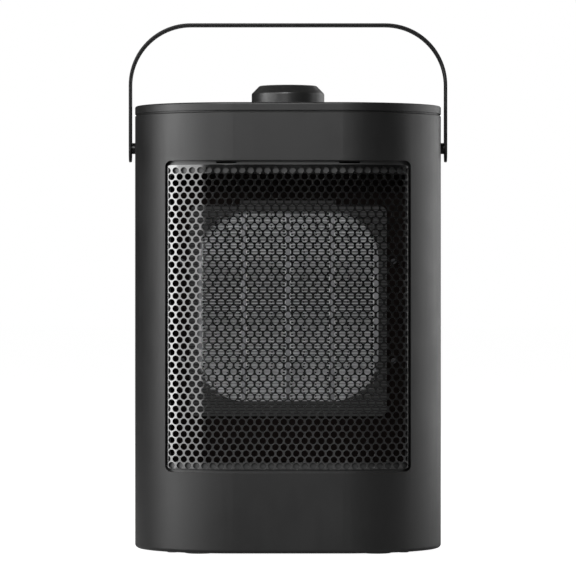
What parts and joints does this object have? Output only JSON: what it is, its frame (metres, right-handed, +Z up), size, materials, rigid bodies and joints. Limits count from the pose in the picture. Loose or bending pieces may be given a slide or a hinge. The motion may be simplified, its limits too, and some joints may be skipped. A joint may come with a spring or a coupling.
{
  "type": "ceramic space heater",
  "caption": "Small upright ceramic space heater with a curved perforated outlet grille, a rotary switch on its lid and a folding flat-strap carrying handle.",
  "frame": {"origin": "on the floor under the middle of the body", "axes": "+Z up, the outlet grille faces -Y, +X is on the right as seen from the front"},
  "size_m": [0.175, 0.118, 0.2889],
  "materials": {
    "shell": "fine satin moulded plastic",
    "base": "matt moulded plastic",
    "intake": "matt moulded plastic",
    "filter": "open polyester mesh",
    "foot": "matt rubber",
    "grille": "semi-gloss black powder coat",
    "grille_frame": "satin plastic",
    "duct": "matt heat-resistant plastic",
    "heater_case": "matt glass-filled plastic",
    "heater_bar": "drawn aluminium sheath",
    "fin": "bright folded foil",
    "terminal": "plain",
    "cutoff": "pressed cap",
    "fuse": "glazed body",
    "fan_case": "matt plastic",
    "fan_blade": "satin plastic",
    "motor": "zinc-plated can",
    "steel": "ground",
    "screw": "black zinc",
    "switch_case": "matt phenolic",
    "nut": "plated",
    "knob": "satin soft-touch plastic",
    "pointer": "printed mark",
    "strap": "satin black powder coat",
    "bush": "black acetal",
    "plunger": "white acetal",
    "gland": "matt nylon",
    "block": "white nylon",
    "wire": "silicone insulation"
  },
  "bodies": {
    "housing": {"front_shell": "shell", "rear_shell": "shell", "top_lid": "shell", "base_cover": "base", "rear_grille": "intake", "intake_filter": "filter", "foot_pad_front_left": "foot", "foot_pad_front_right": "foot", "foot_pad_rear_left": "foot", "foot_pad_rear_right": "foot", "front_grille": "grille", "grille_frame": "grille_frame", "outlet_duct": "duct", "heater_frame": "heater_case", "ptc_bar_1": "heater_bar", "ptc_bar_2": "heater_bar", "ptc_bar_3": "heater_bar", "ptc_bar_4": "heater_bar", "ptc_bar_5": "heater_bar", "fin_pack_1": "fin", "fin_pack_2": "fin", "fin_pack_3": "fin", "fin_pack_4": "fin", "ptc_terminals": "terminal", "switch_terminals": "terminal", "thermal_cutoff": "cutoff", "thermal_fuse": "fuse", "fan_shroud": "fan_case", "fan_motor": "motor", "tip_spring": "steel", "friction_washer_left": "steel", "friction_washer_right": "steel", "base_screws": "screw", "heater_screws": "screw", "shroud_screws": "screw", "motor_screws": "screw", "shell_screws": "screw", "rotary_switch": "switch_case", "tip_switch": "switch_case", "switch_nut": "nut", "pivot_bush_left": "bush", "pivot_bush_right": "bush", "plunger_guide": "bush", "cord_gland": "gland", "gland_nut": "gland", "terminal_block": "block", "wiring": "wire"},
    "handle": {"handle_strap": "strap", "handle_pivot_left": "strap", "handle_pivot_right": "strap", "retaining_clip_left": "steel", "retaining_clip_right": "steel"},
    "knob": {"control_knob": "knob", "knob_pointer": "pointer", "switch_shaft": "steel"},
    "fan": {"fan_impeller": "fan_blade", "fan_shaft": "steel"},
    "tip_plunger": {"tip_plunger": "plunger"}
  },
  "joints": [
    {"name": "handle_fold", "type": "hinge", "parent": "housing", "child": "handle", "pos_m": [0, 0, 0.2203], "axis": [1, 0, 0], "range_deg": [-90, 90]},
    {"name": "knob_turn", "type": "hinge", "parent": "housing", "child": "knob", "pos_m": [0, 0, 0.2436], "axis": [0, 0, -1], "range_deg": [0, 270]},
    {"name": "fan_spin", "type": "hinge", "parent": "housing", "child": "fan", "pos_m": [0, 0, 0.131], "axis": [0, -1, 0], "continuous": true},
    {"name": "plunger_travel", "type": "slide", "parent": "housing", "child": "tip_plunger", "axis": [0, 0, -1], "range_m": [0, 0.005], "stiffness_N_per_m": 100, "springref_m": 0.01, "deforming": ["tip_spring"]}
  ]
}
